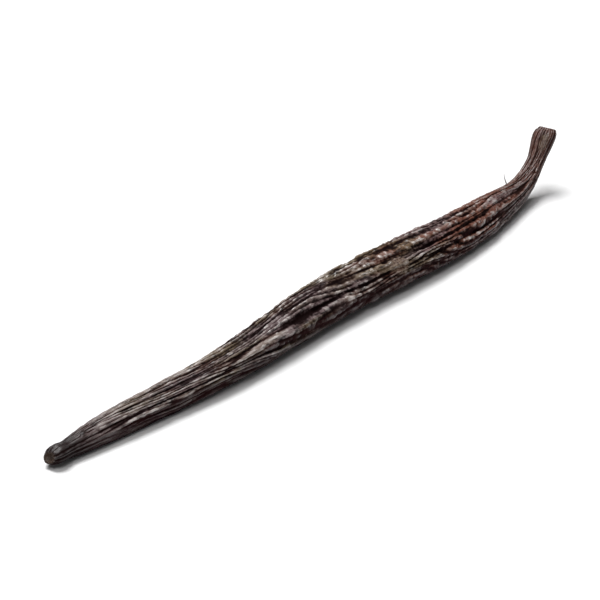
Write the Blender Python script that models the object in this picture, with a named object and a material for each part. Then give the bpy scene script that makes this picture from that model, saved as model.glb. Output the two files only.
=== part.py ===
"""A cured vanilla pod, lying on a flat surface with its stem end hooked up.

The pod is one closed solid, swept along its own centreline from the blossom end to the stem end. It starts at
a small knob where the flower dropped off, swells to a plump, slightly flattened body with three blunt lobes
and lengthwise folds, and narrows to a neck that bends up to a flared stem scar. Its belly is pressed flat
and rests on a few spots. Sizes are in millimetres here, and the mesh is in metres, with +Z up.
"""

import math

import bmesh
import bpy
from mathutils import Vector

MM = 0.001
TURN = 2 * math.pi

# ---- Driving sizes ----

POD_LENGTH = 170.0  # along the centreline, scar to scar

# Distance from the blossom end, half width, half height, and height of the underside above the surface that
# the pod lies on, before the hook lifts it. A negative underside is pressed flat.
GIRTH_STATIONS = (
    (0.0, 1.60, 1.50, 0.80),  # knob left by the flower
    (1.8, 2.05, 1.85, 0.50),
    (4.6, 1.75, 1.65, 0.45),  # waist behind the knob
    (9.0, 2.35, 2.20, 0.05),
    (18.0, 3.05, 2.80, -0.30),
    (40.0, 3.75, 3.35, -0.45),
    (62.0, 4.65, 4.00, -0.50),
    (86.0, 5.25, 4.50, -0.50),
    (108.0, 5.40, 4.65, -0.50),  # plumpest
    (128.0, 5.00, 4.35, -0.50),
    (142.0, 4.00, 3.60, -0.25),
    (150.0, 2.95, 2.80, 0.30),  # the neck leaves the surface
    (157.0, 2.20, 2.10, 0.80),
    (162.5, 1.80, 1.75, 1.00),
    (167.6, 2.45, 2.25, 1.00),  # flare round the stem scar
    (170.0, 2.10, 1.95, 1.00),
)

PLUMPEST = max(half_width for _, half_width, _, _ in GIRTH_STATIONS)

BOW_DEG = 6.0  # turn of the whole pod in plan, blossom end to stem end
WAVE_DEG = 3.9  # side-to-side wander on top of the bow
WAVE_LENGTH = 77.0
WAVE_START = 47.0
HOOK_START = 146.0
HOOK_END = 167.0
HOOK_RISE_DEG = 46.0  # how steeply the stem end points up
HOOK_YAW_DEG = 7.0  # and how far it turns aside
TWIST_DEG = 70.0  # turn of the folds round the pod along its length

LOBE_COUNT = 3
LOBE_SHARE = 0.055  # of the girth
LOBE_TURN_LENGTH = 160.0  # each lobe takes the next one's place over this length
LOBES_FROM = 1.5  # half width where the lobes start to show
LOBES_FULL = 4.5  # and where they are full

FOLD_COUNT = 10
FOLD_DEPTH = 0.85  # at the plumpest girth
FOLD_ROUNDING = 0.85  # under 1 makes broad crests and narrow valleys
FADE_FOLDS_WITHIN = 9.0  # folds grow shallow over this length at both ends
FOLD_SHARE_AT_SCARS = 0.25
FOLD_SHARE_MEAN = 0.74
FOLD_SHARE_LEAST = 0.12
# Each wave is its size, its number of crests round the pod, its length along the pod and its phase in turns.
FOLD_SHARE_WAVES = ((0.24, 2, 68.0, 0.55), (0.18, 4, -43.0, 0.0))
FOLD_WANDER_WAVES = ((0.12, 1, 120.0, 0.10), (0.08, 2, -75.0, 0.35), (0.05, 3, 52.0, 0.60))  # radians

# Share of the girth, and distance set back along the axis, of the rings that close an end: a dished scar
# inside a rounded lip.
SCAR_RINGS = ((0.0, 0.55), (0.36, 0.45), (0.60, 0.10), (0.76, 0.0), (0.92, 0.22), (1.0, 0.65))
SCAR_SLANT = 0.32  # the scars lean back towards the upper side, by this share of the height
SLANT_WITHIN = 6.0  # and the lean fades out over this length
SCAR_OVAL = 0.10  # how far the scars are from round
SCAR_OVAL_TURN = 0.9

# Distance, place to the side of the centreline and radius of each spot where the belly touches the surface.
# It clears the surface by REST_GAP between them.
REST_SPOTS = (
    (15.3, 0.8, 0.5),
    (36.1, -1.6, 0.5),
    (85.0, 2.9, 0.5),
    (89.7, 0.9, 2.0),  # under the middle of the pod, inside the others
    (131.5, -2.4, 0.5),
    (138.4, 0.9, 0.5),
)
REST_GAP = 0.12

POINTS_PER_FOLD = 5
BODY_RINGS = 84
RING_CROWDING = 0.09  # rings stand closer together towards the ends, where the outline turns more
CENTRELINE_STEP = 0.25  # spacing of the points that the centreline is summed over

SKIN_COLOUR = (0.066, 0.046, 0.040)
SKIN_ROUGHNESS = 0.45


# ---- Shape rules ----


def smoothstep(x):
    """0 below 0, 1 above 1, and a smooth ramp between."""
    x = min(1.0, max(0.0, x))
    return x * x * (3.0 - 2.0 * x)


def girth_at(s):
    """Half width, half height and underside height at distance s, on a smooth curve through the stations."""
    s = min(POD_LENGTH, max(0.0, s))
    last = len(GIRTH_STATIONS) - 1
    i = next(i for i in range(1, last + 1) if s <= GIRTH_STATIONS[i][0])
    before, start = GIRTH_STATIONS[max(0, i - 2)], GIRTH_STATIONS[i - 1]
    end, after = GIRTH_STATIONS[i], GIRTH_STATIONS[min(last, i + 1)]
    span = end[0] - start[0]
    t = (s - start[0]) / span
    values = []
    for k in (1, 2, 3):
        slope_in = (end[k] - before[k]) / (end[0] - before[0]) * span
        slope_out = (after[k] - start[k]) / (after[0] - start[0]) * span
        values.append(
            (2 * t**3 - 3 * t**2 + 1) * start[k]
            + (t**3 - 2 * t**2 + t) * slope_in
            + (3 * t**2 - 2 * t**3) * end[k]
            + (t**3 - t**2) * slope_out
        )
    return values


def heading_at(s):
    """Direction of the centreline in plan, in radians from +X."""
    bow = BOW_DEG * (s / POD_LENGTH - 0.5)
    wave = WAVE_DEG * math.sin(TURN * (s - WAVE_START) / WAVE_LENGTH)
    yaw = HOOK_YAW_DEG * smoothstep((s - HOOK_START) / (HOOK_END - HOOK_START))
    return math.radians(bow + wave + yaw)


def rise_at(s):
    """Slope of the centreline above the horizontal, in radians: only the hook rises."""
    return math.radians(HOOK_RISE_DEG) * smoothstep((s - HOOK_START) / (HOOK_END - HOOK_START))


def summed_centreline():
    """Points every CENTRELINE_STEP along the bends and the hook, without the height that the girth adds."""
    points = [Vector((0.0, 0.0, 0.0))]
    for i in range(round(POD_LENGTH / CENTRELINE_STEP)):
        s = (i + 0.5) * CENTRELINE_STEP
        turn, rise = heading_at(s), rise_at(s)
        step = Vector((math.cos(rise) * math.cos(turn), math.cos(rise) * math.sin(turn), math.sin(rise)))
        points.append(points[-1] + step * CENTRELINE_STEP)
    return points


def frame_at(points, s):
    """Centre, forward, side and upper directions of the section at distance s."""
    x = s / CENTRELINE_STEP
    i = min(len(points) - 2, max(0, math.floor(x)))
    centre = points[i].lerp(points[i + 1], x - i)
    _, half_height, underside = girth_at(s)
    centre.z += half_height + underside
    turn, rise = heading_at(s), rise_at(s)
    forward = Vector((math.cos(rise) * math.cos(turn), math.cos(rise) * math.sin(turn), math.sin(rise)))
    side = Vector((-math.sin(turn), math.cos(turn), 0.0))
    return centre, forward, side, forward.cross(side)


def waves(table, u, s):
    """Sum of the table's waves at a share u of the way round and distance s."""
    return sum(
        size * math.sin(TURN * (crests * u + s / length + phase))
        for size, crests, length, phase in table
    )


def near_end(s):
    """1 at both scars, fading to 0 over SLANT_WITHIN."""
    return 1.0 - smoothstep(min(s, POD_LENGTH - s) / SLANT_WITHIN)


def section_angle(u, s):
    """Angle round the section of the point a share u of the way round: folds wander and differ in width."""
    twist = math.radians(TWIST_DEG) * s / POD_LENGTH
    return TURN * u + twist + waves(FOLD_WANDER_WAVES, u, s)


def fold_share(u, s):
    """How much of the full depth the folds have at this place: they deepen and fade along the pod."""
    swell = max(FOLD_SHARE_LEAST, FOLD_SHARE_MEAN + waves(FOLD_SHARE_WAVES, u, s))
    away = smoothstep(min(s, POD_LENGTH - s) / FADE_FOLDS_WITHIN)
    return swell * (FOLD_SHARE_AT_SCARS + (1.0 - FOLD_SHARE_AT_SCARS) * away)


def radius_share(u, s, half_width):
    """Radius of the section at (u, s) as a share of its plain outline: lobes, less the folds' valleys."""
    angle = section_angle(u, s)
    lobes = LOBE_SHARE * math.cos(LOBE_COUNT * angle - TURN * s / LOBE_TURN_LENGTH)
    plump = smoothstep((half_width - LOBES_FROM) / (LOBES_FULL - LOBES_FROM))
    oval = SCAR_OVAL * near_end(s) * math.cos(2 * angle + SCAR_OVAL_TURN)
    crest = abs(math.sin(math.pi * FOLD_COUNT * u)) ** FOLD_ROUNDING
    depth = FOLD_DEPTH / PLUMPEST * fold_share(u, s)
    return 1.0 + oval + lobes * plump - depth * (1.0 - crest)


def rest_height(s, across):
    """How high above the surface the pressed belly lies at distance s, so far to the side of the centreline."""
    touches = any(math.hypot(s - spot, across - side) < radius for spot, side, radius in REST_SPOTS)
    return 0.0 if touches else REST_GAP


def skin_point(points, s, u, share=1.0, set_back=0.0):
    """A point of the skin. A share under 1 and a distance set back along the axis draw it into a scar."""
    centre, forward, side, upper = frame_at(points, s)
    half_width, half_height, _ = girth_at(s)
    angle = section_angle(u, s)
    k = radius_share(u, s, half_width) * share
    across, up = half_width * math.cos(angle) * k, half_height * math.sin(angle) * k
    inward = forward if s < POD_LENGTH / 2 else -forward
    point = centre + side * across + upper * up
    point += inward * (set_back + SCAR_SLANT * near_end(s) * up)
    point.z = max(rest_height(s, across), point.z)
    return point


# ---- Building ----


def ring_plan():
    """Every ring from the blossom scar to the stem scar, as distance, share of the girth and set-back."""
    lip = SCAR_RINGS[-1][1]
    plan = [(0.0, share, back) for share, back in SCAR_RINGS]
    for i in range(1, BODY_RINGS):
        t = i / BODY_RINGS
        eased = t - RING_CROWDING * math.sin(TURN * t)
        plan.append((lip + (POD_LENGTH - 2 * lip) * eased, 1.0, 0.0))
    plan += [(POD_LENGTH, share, back) for share, back in reversed(SCAR_RINGS)]
    return plan


def add_ring(mesh, points, s, share, set_back):
    """The vertices of one ring, or the single one in the middle of a scar."""
    around = FOLD_COUNT * POINTS_PER_FOLD if share else 1
    return [mesh.verts.new(skin_point(points, s, i / around, share, set_back) * MM) for i in range(around)]


def join_rings(mesh, near, far):
    """Faces between neighbouring rings, or between a ring and the middle of a scar."""
    around = max(len(near), len(far))
    for i in range(around):
        j = (i + 1) % around
        if len(near) == 1:
            mesh.faces.new((near[0], far[j], far[i]))
        elif len(far) == 1:
            mesh.faces.new((near[i], near[j], far[0]))
        else:
            mesh.faces.new((near[i], near[j], far[j], far[i]))


def centre_in_plan(mesh):
    """Moves the pod so that the middle of its bounding box is over the origin. Its belly is already at Z 0."""
    for axis in (0, 1):
        low = min(v.co[axis] for v in mesh.verts)
        high = max(v.co[axis] for v in mesh.verts)
        for v in mesh.verts:
            v.co[axis] -= (low + high) / 2


def pod_mesh():
    """The pod's skin, closed from the middle of one scar to the middle of the other."""
    points = summed_centreline()
    mesh = bmesh.new()
    rings = [add_ring(mesh, points, s, share, set_back) for s, share, set_back in ring_plan()]
    for near, far in zip(rings, rings[1:]):
        join_rings(mesh, near, far)
    bmesh.ops.recalc_face_normals(mesh, faces=mesh.faces[:])
    bmesh.ops.triangulate(mesh, faces=mesh.faces[:])
    centre_in_plan(mesh)
    data = bpy.data.meshes.new("pod")
    mesh.to_mesh(data)
    mesh.free()
    data.shade_smooth()
    return data


def skin_material():
    """Dark brown, slightly oily skin."""
    material = bpy.data.materials.new("cured_skin")
    material.use_nodes = True
    shader = material.node_tree.nodes["Principled BSDF"]
    shader.inputs["Base Color"].default_value = (*SKIN_COLOUR, 1.0)
    shader.inputs["Roughness"].default_value = SKIN_ROUGHNESS
    shader.inputs["Metallic"].default_value = 0.0
    return material


def main():
    for old in list(bpy.data.objects):
        bpy.data.objects.remove(old)
    pod = bpy.data.objects.new("pod", pod_mesh())
    pod.data.materials.append(skin_material())
    bpy.context.scene.collection.objects.link(pod)


main()
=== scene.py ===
"""The looks of a cured vanilla pod: its wrinkled, oily skin, scars and a dry thread, in soft studio light.

The pod's form is the sweep that its solid has: stations of girth along a wandering centreline, blunt lobes
and lengthwise folds. A Geometry Nodes tree wraps a fine skin round that spine and then presses the small
relief into it. Sizes are in millimetres until the tree's last steps, which scale the skin to metres.
"""

import ast
import logging
import math
from collections.abc import Callable
from dataclasses import dataclass, field
from enum import Enum

import bpy
from bpy.types import Material, Mesh, Node, NodeOutputs, NodeSocket, NodeTree, Object
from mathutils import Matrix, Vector


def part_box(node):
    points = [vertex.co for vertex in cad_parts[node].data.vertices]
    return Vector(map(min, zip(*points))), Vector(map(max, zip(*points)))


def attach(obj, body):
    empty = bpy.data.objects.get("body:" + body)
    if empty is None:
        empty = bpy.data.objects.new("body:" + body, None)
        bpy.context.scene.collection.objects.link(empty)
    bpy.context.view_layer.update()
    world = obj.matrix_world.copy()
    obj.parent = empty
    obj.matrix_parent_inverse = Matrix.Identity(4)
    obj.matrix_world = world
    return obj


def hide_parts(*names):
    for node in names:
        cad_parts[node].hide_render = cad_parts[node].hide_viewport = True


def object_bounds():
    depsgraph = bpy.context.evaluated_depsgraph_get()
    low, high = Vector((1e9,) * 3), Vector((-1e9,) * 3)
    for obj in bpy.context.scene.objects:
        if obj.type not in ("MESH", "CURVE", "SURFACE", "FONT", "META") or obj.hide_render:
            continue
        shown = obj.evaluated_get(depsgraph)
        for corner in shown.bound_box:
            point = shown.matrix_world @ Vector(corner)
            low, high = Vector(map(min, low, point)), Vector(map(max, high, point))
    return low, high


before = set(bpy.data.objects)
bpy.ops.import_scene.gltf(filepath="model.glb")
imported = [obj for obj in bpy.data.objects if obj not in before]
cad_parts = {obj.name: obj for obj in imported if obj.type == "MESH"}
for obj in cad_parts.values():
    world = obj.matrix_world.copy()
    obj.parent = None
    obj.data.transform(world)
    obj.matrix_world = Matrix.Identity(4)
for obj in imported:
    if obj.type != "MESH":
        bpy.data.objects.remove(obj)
cad_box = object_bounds()

LOG = logging.getLogger("vanilla_pod")
MM = 0.001
TURN = 2 * math.pi

Wave = tuple[float, int, float, float]  # size, crests round the pod, length along it (mm), phase in turns
Stations = tuple[tuple[float, ...], ...]
Triple = tuple[float, float, float]


# ---- Small tools ----


def linear_colour(code: str) -> tuple[float, float, float, float]:
    """Turns an sRGB hex colour into the linear one that shaders take.

    Args:
        code: six hex digits after a #.

    Returns:
        Linear red, green, blue and an alpha of 1.
    """
    channels = [int(code[i : i + 2], 16) / 255 for i in (1, 3, 5)]
    linear = [c / 12.92 if c <= 0.04045 else ((c + 0.055) / 1.055) ** 2.4 for c in channels]
    return (linear[0], linear[1], linear[2], 1.0)


def smoothstep(x: float) -> float:
    """Returns 0 below 0, 1 above 1, and a smooth ramp between."""
    x = min(1.0, max(0.0, x))
    return x * x * (3.0 - 2.0 * x)


def smooth_curve(stations: Stations, x: float) -> list[float]:
    """Reads a smooth curve through stations.

    Args:
        stations: rows of a place followed by the values there, in order of place.
        x: the place to read at.

    Returns:
        The values at x.
    """
    last = len(stations) - 1
    x = min(stations[last][0], max(stations[0][0], x))
    i = next(i for i in range(1, last + 1) if x <= stations[i][0])
    before, start = stations[max(0, i - 2)], stations[i - 1]
    end, after = stations[i], stations[min(last, i + 1)]
    span = end[0] - start[0]
    t = (x - start[0]) / span
    values = []
    for k in range(1, len(start)):
        slope_in = (end[k] - before[k]) / (end[0] - before[0]) * span
        slope_out = (after[k] - start[k]) / (after[0] - start[0]) * span
        values.append(
            (2 * t**3 - 3 * t**2 + 1) * start[k]
            + (t**3 - 2 * t**2 + t) * slope_in
            + (3 * t**2 - 2 * t**3) * end[k]
            + (t**3 - t**2) * slope_out
        )
    return values


def waves_formula(waves: tuple[Wave, ...]) -> str:
    """Writes a sum of waves as a formula in u, the share of the way round, and s, the distance along."""
    wave = "{} * sin(turn * ({} * u + s / {} + {}))"
    return " + ".join(wave.format(*values) for values in waves)


# ---- Node trees ----

Source = Node | NodeSocket | float | str | tuple

OPERATORS = {
    ast.Add: "ADD",
    ast.Sub: "SUBTRACT",
    ast.Mult: "MULTIPLY",
    ast.Div: "DIVIDE",
    ast.Pow: "POWER",
}
FUNCTIONS = {
    "sin": "SINE",
    "cos": "COSINE",
    "abs": "ABSOLUTE",
    "floor": "FLOOR",
    "min": "MINIMUM",
    "max": "MAXIMUM",
}
# The kinds of node that are used most.
VECTOR_MATH = "ShaderNodeVectorMath"
READ = "GeometryNodeInputNamedAttribute"
STORE = "GeometryNodeStoreNamedAttribute"
SOCKETS = {int: "NodeSocketInt", float: "NodeSocketFloat", Material: "NodeSocketMaterial"}


def add_node(
    tree: NodeTree, kind: str, inputs: dict[int | str, Source] | None = None, **settings: object
) -> Node:
    """Adds a node, sets it up and links it.

    Args:
        tree: the tree to add it to.
        kind: the node's type.
        inputs: input names, identifiers or places, each with a value, a socket, or a node whose first
            output in use is meant.
        **settings: the node's own properties.

    Returns:
        The new node.
    """
    node = tree.nodes.new(kind)
    for name, value in settings.items():
        setattr(node, name, value)
    for key, source in (inputs or {}).items():
        if isinstance(key, int):
            socket = node.inputs[key]
        else:
            socket = next(s for s in node.inputs if s.enabled and key in (s.name, s.identifier))
        if isinstance(source, Node):
            source = next(s for s in source.outputs if s.enabled)
        if isinstance(source, NodeSocket):
            tree.links.new(source, socket)
        else:
            socket.default_value = source
    return node


def formula(tree: NodeTree, text: str, **names: Source) -> Source:
    """Turns a written formula into linked nodes.

    Args:
        tree: the tree to add them to.
        text: the formula, such as "1 + lobes * plump". In it ramp(x, low, high) climbs smoothly from 0 to 1,
            or falls where low is over high, and mix(share, a, b) blends two colours.
        **names: what each name in it stands for.

    Returns:
        The node that gives the result, or a number.
    """

    def visit(part: ast.AST) -> Source:
        """Turns one part of the formula into nodes.

        Args:
            part: the part, as parsed.

        Returns:
            What the part comes to.
        """
        if isinstance(part, ast.Constant):
            return float(part.value)
        if isinstance(part, ast.Name):
            return names[part.id]
        if isinstance(part, ast.UnaryOp):
            return -visit(part.operand)
        if isinstance(part, ast.BinOp):
            inputs = {0: visit(part.left), 1: visit(part.right)}
            return add_node(tree, "ShaderNodeMath", inputs, operation=OPERATORS[type(part.op)])
        values = [visit(value) for value in part.args]
        if part.func.id == "ramp":
            inputs = dict(zip(("Value", "From Min", "From Max"), values))
            return add_node(tree, "ShaderNodeMapRange", inputs, interpolation_type="SMOOTHSTEP")
        if part.func.id == "mix":
            inputs = dict(zip(("Factor_Float", "A_Color", "B_Color"), values))
            return add_node(tree, "ShaderNodeMix", inputs, data_type="RGBA")
        return add_node(tree, "ShaderNodeMath", dict(enumerate(values)), operation=FUNCTIONS[part.func.id])

    return visit(ast.parse(text).body[0].value)


@dataclass(frozen=True)
class Spread:
    """How a random pattern is drawn out over the skin."""

    round_mm: float  # its spacing round the pod
    along_mm: float  # its spacing along the pod
    offset: float  # sets one pattern apart from the next
    detail: float = 1.0  # how many finer layers it has


def pattern(
    tree: NodeTree, place: Source, spread: Spread, kind: str = "ShaderNodeTexNoise", **settings: object
) -> Node:
    """Lays a random pattern over the skin.

    Args:
        tree: the tree to add it to.
        place: where the point lies in the skin, in millimetres.
        spread: how the pattern is drawn out.
        kind: the texture's node type.
        **settings: the texture's own properties.

    Returns:
        The texture's node.
    """
    scale = (1 / spread.round_mm, 1 / spread.round_mm, 1 / spread.along_mm)
    inputs = {0: place, 1: scale, 2: (spread.offset,) * 3}
    vector = add_node(tree, VECTOR_MATH, inputs, operation="MULTIPLY_ADD")
    return add_node(tree, kind, {"Vector": vector, "Scale": 1.0, "Detail": spread.detail}, **settings)


def grown_piece(
    name: str,
    base: Object,
    inputs: dict[str, int | float | Material],
    shape: Callable[[NodeTree, NodeOutputs], Node],
) -> Object:
    """Grows a piece from an object through a Geometry Nodes tree, as a plain mesh.

    Args:
        name: the piece's name.
        base: the object to grow it from, which isn't kept.
        inputs: the tree's inputs by name. The one called Material is for the piece's faces.
        shape: adds the nodes that make the shape, given the tree and its inputs.

    Returns:
        The piece.
    """
    tree = bpy.data.node_groups.new(name, "GeometryNodeTree")
    tree.is_modifier = True
    geometry = "NodeSocketGeometry"
    tree.interface.new_socket("Geometry", in_out="INPUT", socket_type=geometry)
    for label, value in inputs.items():
        tree.interface.new_socket(label, in_out="INPUT", socket_type=SOCKETS[type(value)])
    tree.interface.new_socket("Geometry", in_out="OUTPUT", socket_type=geometry)
    given = tree.nodes.new("NodeGroupInput").outputs
    grown = add_node(tree, "GeometryNodeRealizeInstances", {"Geometry": shape(tree, given)})
    grown = add_node(tree, "GeometryNodeSetMaterial", {"Geometry": grown, "Material": given["Material"]})
    add_node(tree, "NodeGroupOutput", {"Geometry": grown})

    bpy.context.scene.collection.objects.link(base)
    modifier = base.modifiers.new(name, "NODES")
    modifier.node_group = tree
    for item in tree.interface.items_tree:
        if item.name in inputs:
            modifier[item.identifier] = inputs[item.name]
    graph = bpy.context.evaluated_depsgraph_get()
    mesh = bpy.data.meshes.new_from_object(base.evaluated_get(graph), depsgraph=graph)
    base.modifiers.clear()
    bpy.data.objects.remove(base)
    mesh.name = name
    # The skin's mesh comes with an empty first slot, which this takes off. The threads' mesh has none, so it
    # takes off their only material, and they are left undressed. That is a known fault.
    mesh.materials.pop(index=0)
    piece = bpy.data.objects.new(name, mesh)
    bpy.context.scene.collection.objects.link(piece)
    return piece


# ---- Finishes ----


@dataclass(frozen=True)
class Tint:
    """Patches that shift the skin's brown towards another colour."""

    colour: str
    spread: Spread
    share: str  # how much of it shows: a formula in n, the patches' noise, and along


@dataclass(frozen=True)
class CuredSkin:
    """Skin of a vanilla pod, sweated and slowly dried until it is dark, wrinkled and oily.

    The folds are near black, a painted shade, and stay dull. The crests are paler, partly worn and partly a
    painted highlight, and take a soft oily shine. Red-brown, olive and lilac patches and pale flecks, partly
    a greyish bloom and partly a painted highlight, break up the brown. The underside is darker, a painted
    shade, and the knob at its blossom end dried darkest of all.
    """

    # valley paints shade into the folds, and also colours the dark nicks and the knob.
    valley: str = "#120606"
    flesh: str = "#3c2620"
    # crest is partly wear and partly a painted highlight.
    crest: str = "#847770"
    # The pale flecks on the highest crests are partly a dry bloom and partly a painted highlight.
    bloom: str = "#d2cbc7"
    # The underside colour is a painted shade on the side facing down.
    underside: str = "#261112"
    cork: str = "#83705f"
    wart: str = "#150b0a"
    # Red-brown is strongest towards the stem, olive in the middle, and lilac at the blossom end.
    tints: tuple[Tint, ...] = (
        Tint(
            "#744535",
            Spread(3.0, 16.0, 50.0, 2.0),
            "(0.1 + 0.85 * ramp(along, 0.50, 0.66)) * ramp(n, 0.26, 0.50)",
        ),
        Tint(
            "#6b5e47",
            Spread(3.6, 20.0, 31.0, 2.0),
            "0.7 * ramp(n, 0.46, 0.60) * ramp(along, 0.80, 0.60) * ramp(along, 0.03, 0.16)",
        ),
        Tint(
            "#706064",
            Spread(3.2, 18.0, 77.0, 2.0),
            "max(0.6 * ramp(n, 0.50, 0.64), 0.5 * ramp(along, 0.18, 0.05))",
        ),
    )
    # A real skin's grain and fibres are about 0.1 mm wide, too fine to show. The grain, streaks, nicks,
    # flecks and pits are drawn two to six times as coarse.
    grain: Spread = Spread(0.40, 0.55, 0.0, 3.0)
    streaks: Spread = Spread(0.45, 5.0, 8.0, 3.0)
    nicks: Spread = Spread(0.55, 2.6, 210.0, 3.0)
    flecks: Spread = Spread(0.60, 2.0, 12.0, 4.0)
    pits: Spread = Spread(0.22, 0.5, 90.0, 3.0)
    pit_depth: float = 0.14
    pit_strength: float = 0.8
    blotches: Spread = Spread(2.0, 4.0, 5.0, 3.0)  # where the oil has dried a little
    ior: float = 1.46
    oil: float = 0.45
    oil_roughness: float = 0.28

    def skin_colour(self, tree: NodeTree, place: Source, known: dict[str, Source]) -> Source:
        """Lays the skin's colours one over another.

        In the formulas height runs from 0 in the folds to 1 on the crests, along from 0 at the blossom end to
        1 at the stem end, and upward from -1 underneath to 1 on top.

        Args:
            tree: the material's tree.
            place: where a point lies in the skin, in millimetres.
            known: the height, patterns and attributes of the skin, by name.

        Returns:
            The node that gives the colour.
        """
        known = known | {
            key: linear_colour(getattr(self, key))
            for key in ("valley", "flesh", "crest", "bloom", "underside", "cork", "wart")
        }

        # Height sets the main tone: near black in the folds, a painted shade, brown on the sides, and pale on
        # the crests, partly wear and partly a painted highlight.
        known["colour"] = formula(tree, "mix(ramp(height, 0.08, 0.36), valley, flesh)", **known)
        known["colour"] = formula(tree, "mix(ramp(height, 0.24, 0.56), colour, crest)", **known)
        for tint in self.tints:
            known |= {"n": pattern(tree, place, tint.spread), "tint": linear_colour(tint.colour)}
            toned = f"mix({tint.share}, colour, mix(ramp(height, 0.08, 0.46), valley, tint))"
            known["colour"] = formula(tree, toned, **known)
        for layer in (
            # Short dark nicks break the crests.
            "mix(0.8 * ramp(nicks, 0.46, 0.38), colour, valley)",
            # Pale greyish flecks on the highest of them, less so at the ends: partly a dry bloom, partly a
            # painted highlight.
            "mix(0.8 * ramp(flecks, 0.44, 0.61) * ramp(height, 0.34, 0.72)"
            " * (0.35 + 0.65 * ramp(along, 0.0, 0.14) * ramp(along, 1.0, 0.84)), colour, bloom)",
            # The side facing down is darker: a painted shade.
            "mix(0.9 * ramp(upward, 0.50, -0.10), colour, underside)",
            # Both ends are a little browner than the paler middle, and the knob is nearly black.
            "mix(max(0.3 * ramp(along, 0.12, 0.02), 0.45 * ramp(along, 0.76, 0.92)), colour, flesh)",
            "mix(0.85 * ramp(along, 0.08, 0.025), colour, valley)",
            # Scars and healed marks are corky and pale, the blossom end's scar less so.
            "mix(max(scar * (0.4 + 0.6 * ramp(along, 0.4, 0.6)), 0.6 * max(0, mark)), colour,"
            " mix(ramp(grain, 0.35, 0.62), flesh, cork))",
            # Warts are nearly black.
            "mix(0.8 * max(0, 0 - mark), colour, wart)",
        ):
            known["colour"] = formula(tree, layer, **known)
        return known["colour"]

    def material(self) -> Material:
        """Builds the material, which reads the skin's own attributes.

        Returns:
            The material.
        """
        material = bpy.data.materials.new("cured_pod_skin")
        material.use_nodes = True
        tree = material.node_tree
        tree.nodes.clear()
        place = add_node(tree, "ShaderNodeAttribute", attribute_name="skin_mm").outputs["Vector"]
        known = {
            key: add_node(tree, "ShaderNodeAttribute", attribute_name=key).outputs["Fac"]
            for key in ("relief", "along", "scar", "mark", "upward")
        }
        spreads = ("grain", "streaks", "nicks", "flecks", "pits", "blotches")
        known |= {key: pattern(tree, place, getattr(self, key)) for key in spreads}

        # Fibres under the skin draw its height out in thin lengthwise streaks, and a fine grain breaks it up.
        known["height"] = formula(tree, "relief + 0.30 * (grain - 0.5) + 0.34 * (streaks - 0.5)", **known)
        pitted = {
            "Height": formula(tree, "pits + 1.4 * streaks", **known),
            "Distance": self.pit_depth * MM,
            "Strength": self.pit_strength,
        }
        shine = (
            "(0.04 + 0.86 * ramp(height, 0.15, 0.65)) * (0.4 + 0.6 * ramp(upward, -0.4, 0.4))"
            " * (1 + 0.9 * min(0, mark)) * (0.6 + 0.4 * ramp(along, 0.02, 0.07))"
        )
        roughness = "0.72 - 0.42 * ramp(height, 0.10, 0.55) + 0.3 * (blotches - 0.5)"
        coat = f"{self.oil} * ramp(height, 0.30, 0.75) * ramp(upward, -0.3, 0.4)"
        shader = add_node(
            tree,
            "ShaderNodeBsdfPrincipled",
            {
                "Base Color": self.skin_colour(tree, place, known),
                "Roughness": formula(tree, roughness, **known),
                "Normal": add_node(tree, "ShaderNodeBump", pitted),
                "IOR": self.ior,
                "Coat Weight": formula(tree, coat, **known),
                "Coat Roughness": self.oil_roughness,
                "Specular IOR Level": formula(tree, shine, **known),
            },
        )
        add_node(tree, "ShaderNodeOutputMaterial", {"Surface": shader})
        return material


@dataclass(frozen=True)
class DryFibre:
    """Fibre of the stalk, torn and dried: dull, stiff and straw-brown, paler where its grain is worn.

    It doesn't show, because grown_piece takes it off the threads.
    """

    brown: str = "#4d382c"
    worn: str = "#7d6553"
    grain_mm: float = 0.4
    roughness: float = 0.7
    ior: float = 1.5

    def material(self) -> Material:
        """Builds the material.

        Returns:
            The material.
        """
        material = bpy.data.materials.new("torn_dried_fibre")
        material.use_nodes = True
        tree = material.node_tree
        tree.nodes.clear()
        place = add_node(tree, "ShaderNodeTexCoord").outputs["Object"]
        lie = {"Vector": place, "Scale": 1 / (self.grain_mm * MM), "Detail": 2.0}
        known = {
            "grain": add_node(tree, "ShaderNodeTexNoise", lie),
            "brown": linear_colour(self.brown),
            "worn": linear_colour(self.worn),
        }
        colour = formula(tree, "mix(ramp(grain, 0.35, 0.65), brown, worn)", **known)
        looks = {"Base Color": colour, "Roughness": self.roughness, "IOR": self.ior}
        shader = add_node(tree, "ShaderNodeBsdfPrincipled", looks)
        add_node(tree, "ShaderNodeOutputMaterial", {"Surface": shader})
        return material


@dataclass(frozen=True)
class MattePaper:
    """Seamless studio paper: flat, pale and without gloss."""

    white: str = "#f4f4f4"
    roughness: float = 0.9
    specular: float = 0.1

    def material(self) -> Material:
        """Builds the material.

        Returns:
            The material.
        """
        material = bpy.data.materials.new("seamless_paper")
        material.use_nodes = True
        shader = material.node_tree.nodes["Principled BSDF"]
        shader.inputs["Base Color"].default_value = linear_colour(self.white)
        shader.inputs["Roughness"].default_value = self.roughness
        shader.inputs["Specular IOR Level"].default_value = self.specular
        return material


# ---- The pod ----


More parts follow.
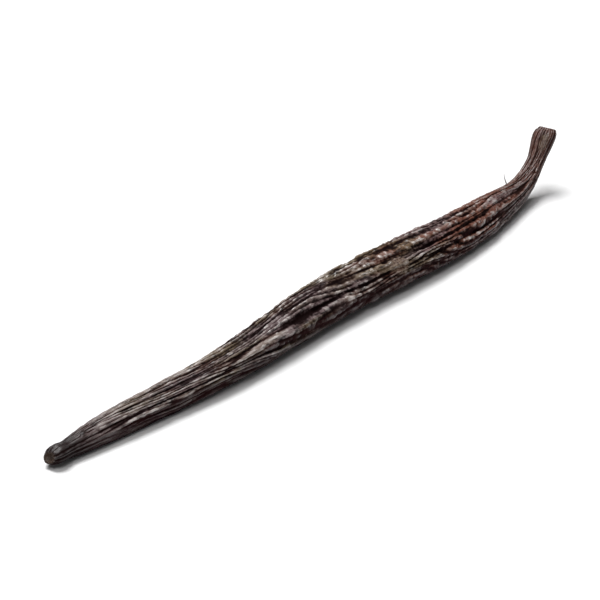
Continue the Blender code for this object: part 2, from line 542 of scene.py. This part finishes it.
@dataclass
class Spine:
    """The pod's centreline and girth, in millimetres, as its solid has them."""

    length: float = 170.0
    # Distance from the blossom end, half width, half height and height of the underside.
    girth: Stations = (
        (0.0, 1.60, 1.50, 0.80),
        (1.8, 2.05, 1.85, 0.50),
        (4.6, 1.75, 1.65, 0.45),
        (9.0, 2.35, 2.20, 0.05),
        (18.0, 3.05, 2.80, -0.30),
        (40.0, 3.75, 3.35, -0.45),
        (62.0, 4.65, 4.00, -0.50),
        (86.0, 5.25, 4.50, -0.50),
        (108.0, 5.40, 4.65, -0.50),
        (128.0, 5.00, 4.35, -0.50),
        (142.0, 4.00, 3.60, -0.25),
        (150.0, 2.95, 2.80, 0.30),
        (157.0, 2.20, 2.10, 0.80),
        (162.5, 1.80, 1.75, 1.00),
        (167.6, 2.45, 2.25, 1.00),
        (170.0, 2.10, 1.95, 1.00),
    )
    # Share of the girth across a scar, and how far its surface is set back there.
    scar: Stations = ((0.0, 0.55), (0.36, 0.45), (0.60, 0.10), (0.76, 0.0), (0.92, 0.22), (1.0, 0.65))
    scar_tone: tuple[float, float] = (0.55, 0.90)  # shares between which a scar's colour fades out
    bow_deg: float = 6.0
    wave_deg: float = 3.9
    wave_length: float = 77.0
    wave_start: float = 47.0
    hook_start: float = 146.0
    hook_end: float = 167.0
    hook_rise_deg: float = 46.0
    hook_yaw_deg: float = 7.0
    lobes_from: float = 1.5
    lobes_full: float = 4.5
    slant_within: float = 6.0
    fade_within: float = 9.0
    fold_share_at_scars: float = 0.25
    step: float = 0.25
    body_rings: int = 580
    scar_rings: int = 18
    scar_crowding: float = 0.8  # under 1, so that a scar's rings crowd towards its rim
    centreline: list[Vector] = field(default_factory=list)

    @property
    def plumpest(self) -> float:
        """The greatest half width."""
        return max(station[1] for station in self.girth)

    @property
    def mean_radius(self) -> float:
        """The radius of the even tube that patterns are laid out on."""
        return 0.9 * self.plumpest

    @property
    def rings(self) -> int:
        """How many rings the skin has, both scars included."""
        return self.body_rings - 1 + 2 * self.scar_rings

    def directions(self, s: float) -> tuple[Vector, Vector, Vector]:
        """Finds which way the section at a distance faces.

        Args:
            s: distance from the blossom end.

        Returns:
            Unit vectors forward, to the side and up through the section.
        """
        hook = smoothstep((s - self.hook_start) / (self.hook_end - self.hook_start))
        wave = self.wave_deg * math.sin(TURN * (s - self.wave_start) / self.wave_length)
        turn = math.radians(self.bow_deg * (s / self.length - 0.5) + wave + self.hook_yaw_deg * hook)
        rise = math.radians(self.hook_rise_deg) * hook
        forward = Vector((math.cos(rise) * math.cos(turn), math.cos(rise) * math.sin(turn), math.sin(rise)))
        side = Vector((-math.sin(turn), math.cos(turn), 0.0))
        return forward, side, forward.cross(side)

    def sum_centreline(self) -> None:
        """Adds up the centreline from short steps along the bends and the hook."""
        self.centreline = [Vector((0.0, 0.0, 0.0))]
        for i in range(round(self.length / self.step)):
            forward, _, _ = self.directions((i + 0.5) * self.step)
            self.centreline.append(self.centreline[-1] + forward * self.step)

    def centre(self, s: float) -> Vector:
        """Finds the middle of a section, lifted by the girth that lies under it.

        Args:
            s: distance from the blossom end.

        Returns:
            The point.
        """
        i = min(len(self.centreline) - 2, max(0, math.floor(s / self.step)))
        _, half_height, underside = smooth_curve(self.girth, s)
        lift = Vector((0.0, 0.0, half_height + underside))
        return self.centreline[i].lerp(self.centreline[i + 1], s / self.step - i) + lift

    def ring_plan(self) -> list[Triple]:
        """Plans the rings, from scar to scar.

        Returns:
            Each ring's distance along, share of the girth and set-back.
        """
        lip = self.scar[-1][1]
        shares = [(i / (self.scar_rings - 1)) ** self.scar_crowding for i in range(self.scar_rings)]
        cap = [(share, smooth_curve(self.scar, share)[0]) for share in shares]
        plan = [(0.0, share, back) for share, back in cap]
        for i in range(1, self.body_rings):
            plan.append((lip + (self.length - 2 * lip) * i / self.body_rings, 1.0, 0.0))
        return plan + [(self.length, share, back) for share, back in reversed(cap)]

    def ring_values(self, s: float, share: float, back: float) -> dict[str, Vector | float]:
        """Works out what the skin needs to know at a ring.

        Args:
            s: the ring's distance from the blossom end.
            share: its share of the girth.
            back: how far it is set back.

        Returns:
            The values by name.
        """
        forward, side, upper = self.directions(s)
        half_width, half_height, _ = smooth_curve(self.girth, s)
        from_end = min(s, self.length - s)
        away = smoothstep(from_end / self.fade_within)
        dark, gone = self.scar_tone
        on_scar = s in (0.0, self.length)
        return {
            "side": side,
            "upper": upper,
            "inward": forward if s < self.length / 2 else -forward,
            "half_width": half_width * share,
            "half_height": half_height * share,
            "s": s,
            "plump": smoothstep((half_width - self.lobes_from) / (self.lobes_full - self.lobes_from)),
            "near_end": 1.0 - smoothstep(from_end / self.slant_within),
            "fold_fade": self.fold_share_at_scars + (1.0 - self.fold_share_at_scars) * away,
            "set_back": back,
            "cap": 1.0 - smoothstep((share - dark) / (gone - dark)) if on_scar else 0.0,
            "share": share,
        }

    def build(self) -> Object:
        """Makes a line of points, one for each ring, which carry what the section needs there.

        Returns:
            The line as an object.
        """
        self.sum_centreline()
        plan = self.ring_plan()
        points = [self.centre(s) for s, _, _ in plan]
        mesh = bpy.data.meshes.new("spine")
        mesh.from_pydata(points, [(i, i + 1) for i in range(len(plan) - 1)], [])
        rows = [self.ring_values(*ring) for ring in plan]
        for name, first in rows[0].items():
            values = [row[name] for row in rows]
            if isinstance(first, Vector):
                flat = [x for value in values for x in value]
                mesh.attributes.new(name, "FLOAT_VECTOR", "POINT").data.foreach_set("vector", flat)
            else:
                mesh.attributes.new(name, "FLOAT", "POINT").data.foreach_set("value", values)
        return bpy.data.objects.new("spine", mesh)


class Zone(Enum):
    """Where along the pod a relief shows, as shares of the length: starts, full, fading, gone."""

    WHOLE = (-3.0, -2.0, 2.0, 3.0)
    MIDDLE = (0.22, 0.40, 0.74, 0.92)
    STEM_SIDE = (0.50, 0.72, 0.94, 1.0)


@dataclass(frozen=True)
class Wrinkles:
    """One set of wrinkles in the skin: valleys that wander along the middle level of a stretched noise."""

    name: str
    spread: Spread
    depth: float
    steepness: float
    shade: float
    zone: Zone = Zone.WHOLE
    patchy: bool = False
    rounding: float = 0.8


@dataclass(frozen=True)
class Ridges:
    """Fine ridges that run side by side along the whole pod, where the drying skin was drawn in."""

    name: str = "Ridges"
    count: int = 26  # even, because merging the seam's points averages their place round to a half
    depth: float = 0.38
    shade: float = 0.85
    rounding: float = 1.2
    sway: float = 5.5  # how many ridges' widths they wander from one end of the noise to the other
    sway_spread: Spread = Spread(5.0, 26.0, 90.0)
    fade_spread: Spread = Spread(3.2, 14.0, 120.0)


@dataclass(frozen=True)
class Mark:
    """A small mark in the skin, such as a healed scar (tone 1, pale) or a wart (tone -1, dark)."""

    along_mm: float
    turns: float
    half_length: float
    half_width: float
    height: float
    tone: float


@dataclass
class PodSkin:
    """The skin that is wrapped round the spine, with its folds, wrinkles, creases and grain."""

    spine: Spine
    finish: CuredSkin
    points_per_fold: int = 16
    fold_count: int = 10
    fold_depth: float = 0.60
    fold_rounding: float = 0.85
    fold_share_mean: float = 0.74
    fold_share_least: float = 0.12
    fold_share_waves: tuple[Wave, ...] = ((0.24, 2, 68.0, 0.55), (0.18, 4, -43.0, 0.0))
    fold_wander_waves: tuple[Wave, ...] = (
        (0.12, 1, 120.0, 0.10),
        (0.08, 2, -75.0, 0.35),
        (0.05, 3, 52.0, 0.60),
    )
    twist_deg: float = 70.0
    lobe_count: int = 3
    lobe_share: float = 0.055
    lobe_turn_length: float = 160.0
    scar_slant: float = 0.32
    scar_oval: float = 0.10
    scar_oval_turn: float = 0.9
    seam_gap: float = 0.0005  # points nearer than this are merged, at the seam and the scars' middles
    # A real skin's finest wrinkles, about 0.3 mm apart, are drawn two to three times as coarse, to show.
    wrinkles: tuple[Wrinkles, ...] = (
        Wrinkles("Furrows", Spread(2.4, 24.0, 3.0), 0.24, 7.0, 0.52),
        Wrinkles("Cross creases", Spread(3.0, 1.8, 41.0), 0.20, 6.5, 0.42, Zone.MIDDLE, patchy=True),
        Wrinkles("Fine wrinkles", Spread(0.8, 2.4, 67.0), 0.13, 4.5, 0.40),
    )
    ridges: Ridges = Ridges()
    # A healed mark near the plumpest place, a wart behind the knob, and a pale patch below the stem scar.
    marks: tuple[Mark, ...] = (
        Mark(102.0, 0.27, 2.8, 2.1, 0.30, 1.0),
        Mark(8.5, 0.30, 0.8, 1.4, 0.25, -1.0),
        Mark(166.0, 0.15, 2.4, 2.3, -0.10, 1.0),
    )
    mark_edge: tuple[float, float] = (1.15, 0.80)
    mark_raggedness: float = 0.6
    mark_spread: Spread = Spread(1.2, 1.2, 150.0, 2.0)
    grain_spread: Spread = Spread(0.80, 0.80, 0.0)
    grain_height: float = 0.20
    dent_spread: Spread = Spread(6.0, 14.0, 60.0)
    dent_depth: float = 0.55
    warp_mm: float = 4.0  # spacing and reach of the slow noise that bends wrinkles out of line
    warp_reach: float = 3.0
    swell: float = 0.32  # lifts the whole relief, so that its crests stand at the solid's surface

    def shape(self, tree: NodeTree, given: NodeOutputs) -> Node:
        """Adds the nodes that make the skin.

        Args:
            tree: the tree to add to.
            given: the tree's inputs: the spine, the counts of rings and points, and the depths of the relief.

        Returns:
            The node that gives the skin, in metres.
        """
        skin = self.pressed_relief(tree, given, self.swept_skin(tree, given))
        skin = add_node(tree, "GeometryNodeTransform", {"Geometry": skin, "Scale": (MM, MM, MM)})
        return add_node(tree, "GeometryNodeSetShadeSmooth", {"Geometry": skin, "Shade Smooth": True})

    def swept_skin(self, tree: NodeTree, given: NodeOutputs) -> Node:
        """Wraps a grid round the spine, with the lobes and the main folds.

        Args:
            tree: the tree to add to.
            given: the tree's inputs.

        Returns:
            The node that gives the closed skin, in millimetres.
        """
        known = {"turn": TURN, "around": given["Points round"], "i": add_node(tree, "GeometryNodeInputIndex")}
        known["columns"] = formula(tree, "around + 1", **known)
        size = {"Size X": 1.0, "Size Y": 1.0, "Vertices X": given["Rings"], "Vertices Y": known["columns"]}
        grid = add_node(tree, "GeometryNodeMeshGrid", size).outputs
        ring = formula(tree, "floor((i + 0.5) / columns)", **known)
        known["u"] = formula(tree, "(i - ring * columns) / around", ring=ring, **known)

        def read(name: str, kind: str = "FLOAT") -> Node:
            """Reads a value of the spine at this point's ring.

            Args:
                name: the value's name.
                kind: the value's type.

            Returns:
                The node that gives it.
            """
            inner = add_node(tree, READ, {"Name": name}, data_type=kind)
            inputs = {"Geometry": given["Geometry"], "Value": inner, "Index": ring}
            return add_node(tree, "GeometryNodeSampleIndex", inputs, data_type=kind, domain="POINT")

        known |= {name: read(name) for name in ("s", "near_end", "plump", "fold_fade", "set_back", "share")}
        twist = math.radians(self.twist_deg)
        wander = waves_formula(self.fold_wander_waves)
        known["angle"] = formula(tree, f"turn * u + {twist} * s / {self.spine.length} + {wander}", **known)
        lobes = f"plump * cos({self.lobe_count} * angle - turn * s / {self.lobe_turn_length})"
        known["lobes"] = formula(tree, f"{self.lobe_share} * {lobes}", **known)
        oval = f"near_end * cos(2 * angle + {self.scar_oval_turn})"
        known["oval"] = formula(tree, f"{self.scar_oval} * {oval}", **known)
        crest = f"abs(sin({math.pi * self.fold_count} * u)) ** {self.fold_rounding}"
        known["crest"] = formula(tree, crest, **known)
        share = f"{self.fold_share_mean} + {waves_formula(self.fold_share_waves)}"
        known["fold_share"] = formula(tree, f"max({self.fold_share_least}, {share})", **known)
        known["radius"] = formula(
            tree,
            f"1 + oval + lobes - depth / {self.spine.plumpest} * fold_share * fold_fade * (1 - crest)",
            depth=given["Fold depth"],
            **known,
        )
        across = formula(tree, "half * cos(angle) * radius", half=read("half_width"), **known)
        up = formula(tree, "half * sin(angle) * radius", half=read("half_height"), **known)
        push = formula(tree, f"set_back + {self.scar_slant} * near_end * up", up=up, **known)
        centre = add_node(tree, "GeometryNodeInputPosition")
        centre = {"Geometry": given["Geometry"], "Value": centre, "Index": ring}
        place = add_node(tree, "GeometryNodeSampleIndex", centre, data_type="FLOAT_VECTOR", domain="POINT")
        for name, length in (("side", across), ("upper", up), ("inward", push)):
            reach = {0: read(name, "FLOAT_VECTOR"), "Scale": length}
            reach = add_node(tree, VECTOR_MATH, reach, operation="SCALE")
            place = add_node(tree, VECTOR_MATH, {0: place, 1: reach}, operation="ADD")
        skin = add_node(tree, "GeometryNodeSetPosition", {"Geometry": grid["Mesh"], "Position": place})
        # The grid's own UV map, in which no two faces overlap.
        unrolled = {"Geometry": skin, "Name": "OFBake", "Value": grid["UV Map"]}
        skin = add_node(tree, STORE, unrolled, data_type="FLOAT2", domain="CORNER")
        known["reach"] = formula(tree, f"{self.spine.mean_radius} * share", **known)
        skin_place = {
            "X": formula(tree, "reach * cos(turn * u)", **known),
            "Y": formula(tree, "reach * sin(turn * u)", **known),
            "Z": known["s"],
        }
        # The grid's faces point inwards until they are flipped at the end, so down there is up here.
        normal = add_node(tree, "GeometryNodeInputNormal")
        normal = add_node(tree, "ShaderNodeSeparateXYZ", {0: normal}).outputs
        stored = (
            ("skin_mm", "FLOAT_VECTOR", add_node(tree, "ShaderNodeCombineXYZ", skin_place)),
            ("round", "FLOAT", known["u"]),
            ("upward", "FLOAT", formula(tree, "0 - z", z=normal["Z"])),
            ("crest", "FLOAT", known["crest"]),
            ("along", "FLOAT", formula(tree, f"s / {self.spine.length}", **known)),
            ("scar", "FLOAT", read("cap")),
            ("near_end", "FLOAT", known["near_end"]),
            ("plump", "FLOAT", known["plump"]),
        )
        for name, kind, value in stored:
            inputs = {"Geometry": skin, "Name": name, "Value": value}
            skin = add_node(tree, STORE, inputs, data_type=kind, domain="POINT")
        skin = add_node(tree, "GeometryNodeMergeByDistance", {"Geometry": skin, "Distance": self.seam_gap})
        return add_node(tree, "GeometryNodeFlipFaces", {"Mesh": skin})

    def pressed_relief(
        self, tree: NodeTree, given: NodeOutputs, skin: Node
    ) -> Node:
        """Presses the small relief into the skin, along its normals.

        Two values are stored for the finish: relief, from 0 in the folds to 1 on the crests, and mark.

        Args:
            tree: the tree to add to.
            given: the tree's inputs.
            skin: the node that gives the swept skin.

        Returns:
            The node that gives the finished skin, in millimetres, flat where it rests.
        """
        known = {
            name: add_node(tree, READ, {"Name": name}, data_type="FLOAT")
            for name in ("along", "crest", "near_end", "plump", "round")
        }
        place = add_node(tree, READ, {"Name": "skin_mm"}, data_type="FLOAT_VECTOR")
        slow = {"Vector": place, "Scale": 1 / self.warp_mm, "Detail": 2.0}
        warp = add_node(tree, "ShaderNodeTexNoise", slow).outputs["Color"]
        warp = add_node(tree, VECTOR_MATH, {0: warp, 1: (0.5, 0.5, 0.5)}, operation="SUBTRACT")
        warp = add_node(tree, VECTOR_MATH, {0: warp, "Scale": self.warp_reach}, operation="SCALE")
        warped = add_node(tree, VECTOR_MATH, {0: place, 1: warp}, operation="ADD")

        def shown(zone: Zone) -> Source:
            """Returns how much a relief of this zone shows."""
            start, full, fading, gone = zone.value
            return formula(tree, f"ramp(along, {start}, {full}) * ramp(along, {gone}, {fading})", **known)

        dents = pattern(tree, warped, self.dent_spread)
        known["mark"], known["lift"] = self.marks_on(tree, place)
        known["pressed"] = formula(tree, "depth * max(0, n - 0.42)", depth=given["Dent depth"], n=dents)
        # worn is the tone that the finish paints: pale on the folds' crests, partly a painted highlight, and
        # darkened in every valley below by its shade, a painted shade in the creases.
        known["worn"] = formula(tree, "0.1 + 0.9 * ramp(crest, 0.0, 0.6)", **known)

        # Each valley runs from 0 to 1 at its bottom. Ridges fade in and out, and are shallower across a mark.
        ridges = self.ridges
        sway = f"{ridges.count} * round + {ridges.sway} * (sway - 0.5)"
        valley = formula(
            tree,
            "(0.4 + 0.6 * ramp(fade, 0.34, 0.54)) * (1 - 0.6 * abs(mark))"
            f" * (1 - abs(sin({math.pi} * ({sway}))) ** {ridges.rounding})",
            sway=pattern(tree, place, ridges.sway_spread),
            fade=pattern(tree, warped, ridges.fade_spread),
            **known,
        )
        valleys = [(ridges, valley)]
        for wrinkles in self.wrinkles:
            valley = formula(
                tree,
                f"shown * (1 - min(1, {wrinkles.steepness} * abs(n - 0.5)) ** {wrinkles.rounding})",
                n=pattern(tree, warped, wrinkles.spread),
                shown=shown(wrinkles.zone),
            )
            if wrinkles.patchy:
                valley = formula(tree, "valley * ramp(n, 0.28, 0.48)", valley=valley, n=dents)
            valleys.append((wrinkles, valley))
        # Each valley is pressed in by its depth and darkens worn by its shade, a painted shade in the crease.
        for kind, valley in valleys:
            known |= {"valley": valley, "depth": given[kind.name]}
            known["pressed"] = formula(tree, "pressed + depth * valley", **known)
            known["worn"] = formula(tree, f"worn * (1 - {kind.shade} * valley)", **known)

        # A blunt grain stands up towards the stem.
        cells = {"kind": "ShaderNodeTexVoronoi", "feature": "SMOOTH_F1"}
        known["raised"] = formula(
            tree,
            "height * (0.15 + 0.85 * shown) * (0.65 - grain)",
            height=given["Grain height"],
            shown=shown(Zone.STEM_SIDE),
            grain=pattern(tree, warped, self.grain_spread, **cells).outputs["Distance"],
        )
        relief = formula(tree, "worn + 2.2 * raised", **known)
        for name, value in (("relief", relief), ("mark", known["mark"])):
            value = {"Geometry": skin, "Name": name, "Value": value}
            skin = add_node(tree, STORE, value, data_type="FLOAT", domain="POINT")

        # All of it is shallower where the pod is thin and at its ends.
        known["room"] = formula(tree, "(1 - 0.7 * near_end) * (0.4 + 0.6 * plump)", **known)
        swell = f"{self.swell} * (1 - 0.7 * near_end)"
        reach = formula(tree, f"{swell} + lift + room * (raised - pressed)", **known)
        normal = add_node(tree, "GeometryNodeInputNormal")
        move = add_node(tree, VECTOR_MATH, {0: normal, "Scale": reach}, operation="SCALE")
        skin = add_node(tree, "GeometryNodeSetPosition", {"Geometry": skin, "Offset": move})
        spot = add_node(tree, "GeometryNodeInputPosition")
        spot = add_node(tree, "ShaderNodeSeparateXYZ", {0: spot}).outputs
        flat = {"X": spot["X"], "Y": spot["Y"], "Z": formula(tree, "max(0, z)", z=spot["Z"])}
        flat = add_node(tree, "ShaderNodeCombineXYZ", flat)
        return add_node(tree, "GeometryNodeSetPosition", {"Geometry": skin, "Position": flat})

    def marks_on(self, tree: NodeTree, place: Node) -> tuple[Source, Source]:
        """Finds the marks in the skin.

        Args:
            tree: the tree to add to.
            place: where a point lies in the skin, in millimetres.

        Returns:
            How marked a point is, above 0 where pale and below 0 where dark, and how far the mark stands out.
        """
        tone, lift = 0.0, 0.0
        ragged = pattern(tree, place, self.mark_spread)
        outer, inner = self.mark_edge
        edge = f"ramp(gap + {self.mark_raggedness} * (ragged - 0.5), {outer}, {inner})"
        for mark in self.marks:
            turn, reach = TURN * mark.turns, self.spine.mean_radius
            middle = (reach * math.cos(turn), reach * math.sin(turn), mark.along_mm)
            gap = add_node(tree, VECTOR_MATH, {0: place, 1: middle}, operation="SUBTRACT")
            size = (mark.half_width, mark.half_width, mark.half_length)
            gap = add_node(tree, VECTOR_MATH, {0: gap, 1: size}, operation="DIVIDE")
            gap = add_node(tree, VECTOR_MATH, {0: gap}, operation="LENGTH")
            within = formula(tree, edge, gap=gap, ragged=ragged)
            tone = formula(tree, f"tone + {mark.tone} * within", tone=tone, within=within)
            lift = formula(tree, f"lift + {mark.height} * within", lift=lift, within=within)
        return tone, lift

    def build(self) -> Object:
        """Wraps the skin round the spine and hands it over as the pod.

        Returns:
            The pod's skin.
        """
        inputs = {
            "Rings": self.spine.rings,
            "Points round": self.fold_count * self.points_per_fold,
            "Fold depth": self.fold_depth,
            **{relief.name: relief.depth for relief in (self.ridges, *self.wrinkles)},
            "Grain height": self.grain_height,
            "Dent depth": self.dent_depth,
            "Material": self.finish.material(),
        }
        skin = grown_piece("pod_skin", self.spine.build(), inputs, self.shape)
        self.place(skin.data)
        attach(skin, "root")
        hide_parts("pod")
        return skin

    def place(self, mesh: Mesh) -> None:
        """Moves the skin so that its box has the solid's middle in plan.

        Args:
            mesh: the skin's mesh.
        """
        low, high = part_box("pod")
        for axis in (0, 1):
            places = [v.co[axis] for v in mesh.vertices]
            shift = (low[axis] + high[axis]) / 2 - (min(places) + max(places)) / 2
            for vertex in mesh.vertices:
                vertex.co[axis] += shift


@dataclass
class Threads:
    """The odd dry thread that stands off the neck, where the pod tore from its stalk."""

    skin: Object
    finish: DryFibre
    per_square_mm: float = 0.018
    thickness: float = 0.40
    length: tuple[float, float] = (2.4, 3.2)
    along: tuple[float, float] = (0.84, 0.925)
    edge: float = 0.01
    seed: int = 11
    lean: Triple = (-0.5, 0.1, 0.6)
    scatter: float = 0.35
    # Root, bend and tip of a thread of length 1. The root is sunk into the skin.
    bend: tuple[Triple, Triple, Triple] = ((0.0, 0.0, -0.1), (0.0, 0.0, 0.6), (0.4, 0.0, 1.0))
    taper: float = 0.75
    segments: int = 6
    sides: int = 5

    def shape(self, tree: NodeTree, given: NodeOutputs) -> Node:
        """Adds the nodes that make the threads.

        Args:
            tree: the tree to add to.
            given: the tree's inputs: the skin, how close the threads stand, and the seed.

        Returns:
            The node that gives the threads alone.
        """
        seed = given["Seed"]
        start, stop = self.along
        known = {
            name: add_node(tree, READ, {"Name": name}, data_type="FLOAT")
            for name in ("along", "upward")
        }
        neck = formula(
            tree,
            f"ramp(along, {start}, {start + self.edge}) * ramp(along, {stop}, {stop - self.edge})"
            " * ramp(upward, 0.2, 0.5)",
            **known,
        )
        neck = add_node(tree, "FunctionNodeCompare", {"A": neck, "B": 0.5}, operation="GREATER_THAN")
        where = {
            "Mesh": given["Geometry"],
            "Selection": neck,
            "Density": formula(tree, f"density / {MM**2}", density=given["Per square mm"]),
            "Seed": seed,
        }
        roots = add_node(tree, "GeometryNodeDistributePointsOnFaces", where).outputs
        stray = {"Min": (-self.scatter,) * 3, "Max": (self.scatter,) * 3, "Seed": seed}
        stray = add_node(tree, "FunctionNodeRandomValue", stray, data_type="FLOAT_VECTOR")
        way = add_node(tree, VECTOR_MATH, {0: roots["Normal"], 1: self.lean}, operation="ADD")
        way = add_node(tree, VECTOR_MATH, {0: way, 1: stray}, operation="ADD")
        turned = add_node(tree, "FunctionNodeAlignRotationToVector", {"Vector": way}, axis="Z")
        shortest, longest = (length * MM for length in self.length)
        length = {"Min": shortest, "Max": longest, "Seed": formula(tree, "seed + 1", seed=seed)}
        length = add_node(tree, "FunctionNodeRandomValue", length, data_type="FLOAT")
        root, middle, tip = self.bend
        line = {"Resolution": self.segments, "Start": root, "Middle": middle, "End": tip}
        line = add_node(tree, "GeometryNodeCurveQuadraticBezier", line)
        # A thread is scaled by its length, so the ring's width is the thickness over the mean length.
        ring = {"Resolution": self.sides, "Radius": self.thickness / sum(self.length)}
        ring = add_node(tree, "GeometryNodeCurvePrimitiveCircle", ring)
        share = add_node(tree, "GeometryNodeSplineParameter").outputs["Factor"]
        girth = formula(tree, f"1 - {self.taper} * share", share=share)
        thread = {"Curve": line, "Profile Curve": ring, "Scale": girth, "Fill Caps": True}
        thread = add_node(tree, "GeometryNodeCurveToMesh", thread)
        threads = {"Points": roots["Points"], "Instance": thread, "Rotation": turned, "Scale": length}
        return add_node(tree, "GeometryNodeInstanceOnPoints", threads)

    def build(self) -> Object:
        """Grows the threads out of the skin.

        Returns:
            The threads, as one piece.
        """
        inputs = {"Per square mm": self.per_square_mm, "Seed": self.seed, "Material": self.finish.material()}
        neck = bpy.data.objects.new("neck", self.skin.data.copy())
        threads = grown_piece("dry_threads", neck, inputs, self.shape)
        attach(threads, "root")
        return threads


# ---- The studio ----


@dataclass(frozen=True)
class Softbox:
    """A square softbox that faces the pod. Its place and the length of its side are in metres."""

    name: str
    place: Triple
    size: float
    watts: float

    def hang(self) -> None:
        """Adds the light to the scene."""
        lamp = bpy.data.lights.new(self.name, "AREA")
        lamp.shape = "SQUARE"
        lamp.size = self.size
        lamp.energy = self.watts
        softbox = bpy.data.objects.new(self.name, lamp)
        softbox.location = self.place
        softbox.rotation_euler = Vector(self.place).to_track_quat("Z", "Y").to_euler()
        bpy.context.scene.collection.objects.link(softbox)


@dataclass
class Studio:
    """A pale seamless floor, two soft lights high over it and the camera. Its sizes are in metres."""

    paper: MattePaper
    azimuth_deg: float = -52.0
    elevation_deg: float = 26.0
    distance: float = 0.80
    view_width: float = 0.122
    aim: tuple[float, float] = (-0.0061, -0.0024)
    sensor_mm: float = 36.0
    nearest: float = 0.01
    floor_size: float = 14.0
    floor_drop: float = 0.00005  # keeps the floor clear of the belly that rests on it
    softboxes: tuple[Softbox, ...] = (
        Softbox("overhead_softbox", (0.40, 1.12, 3.0), size=1.68, watts=124.0),
        Softbox("front_softbox", (-1.5, -0.55, 2.9), size=1.80, watts=33.0),
    )
    surround: float = 0.10

    def build_floor(self) -> None:
        """Lays the paper just under the pod."""
        half, level = self.floor_size / 2, -self.floor_drop
        mesh = bpy.data.meshes.new("floor")
        corners = [(x * half, y * half, level) for x, y in ((-1, -1), (1, -1), (1, 1), (-1, 1))]
        mesh.from_pydata(corners, [], [(0, 1, 2, 3)])
        floor = bpy.data.objects.new("floor", mesh)
        mesh.materials.append(self.paper.material())
        bpy.context.scene.collection.objects.link(floor)

    def build_lights(self) -> None:
        """Hangs the softboxes, a strong one behind the pod and a weaker one in front, in a pale surround."""
        world = bpy.data.worlds.new("surround")
        world.use_nodes = True
        background = world.node_tree.nodes["Background"]
        background.inputs["Color"].default_value = (1.0, 1.0, 1.0, 1.0)
        background.inputs["Strength"].default_value = self.surround
        bpy.context.scene.world = world
        for softbox in self.softboxes:
            softbox.hang()

    def build_camera(self) -> None:
        """Sets the camera on its bearing, far off with a long lens."""
        azimuth, elevation = math.radians(self.azimuth_deg), math.radians(self.elevation_deg)
        level = math.cos(elevation)
        back = Vector((math.sin(azimuth) * level, -math.cos(azimuth) * level, math.sin(elevation)))
        low, high = (Vector(corner) for corner in cad_box)
        lens = bpy.data.cameras.new("camera")
        lens.sensor_width = self.sensor_mm
        lens.lens = self.sensor_mm * self.distance / self.view_width
        lens.clip_start = self.nearest
        camera = bpy.data.objects.new("camera", lens)
        right = Vector((math.cos(azimuth), math.sin(azimuth), 0.0))
        aim = (low + high) / 2 + right * self.aim[0] + back.cross(right) * self.aim[1]
        camera.location = aim + back * self.distance
        camera.rotation_euler = back.to_track_quat("Z", "Y").to_euler()
        bpy.context.scene.collection.objects.link(camera)
        bpy.context.scene.camera = camera

    def build(self) -> None:
        """Builds the floor, the lights and the camera."""
        self.build_floor()
        self.build_lights()
        self.build_camera()
        bpy.context.scene.view_settings.view_transform = "Standard"


def main() -> None:
    """Builds the studio and the pod, and reports the pieces."""
    logging.basicConfig(level=logging.INFO, format="%(name)s: %(message)s")
    Studio(MattePaper()).build()
    skin = PodSkin(Spine(), CuredSkin()).build()
    threads = Threads(skin, DryFibre()).build()
    for piece in (skin, threads):
        piece.data.calc_loop_triangles()
        LOG.info("%s: %d triangles", piece.name, len(piece.data.loop_triangles))


if __name__ == "__main__":
    main()
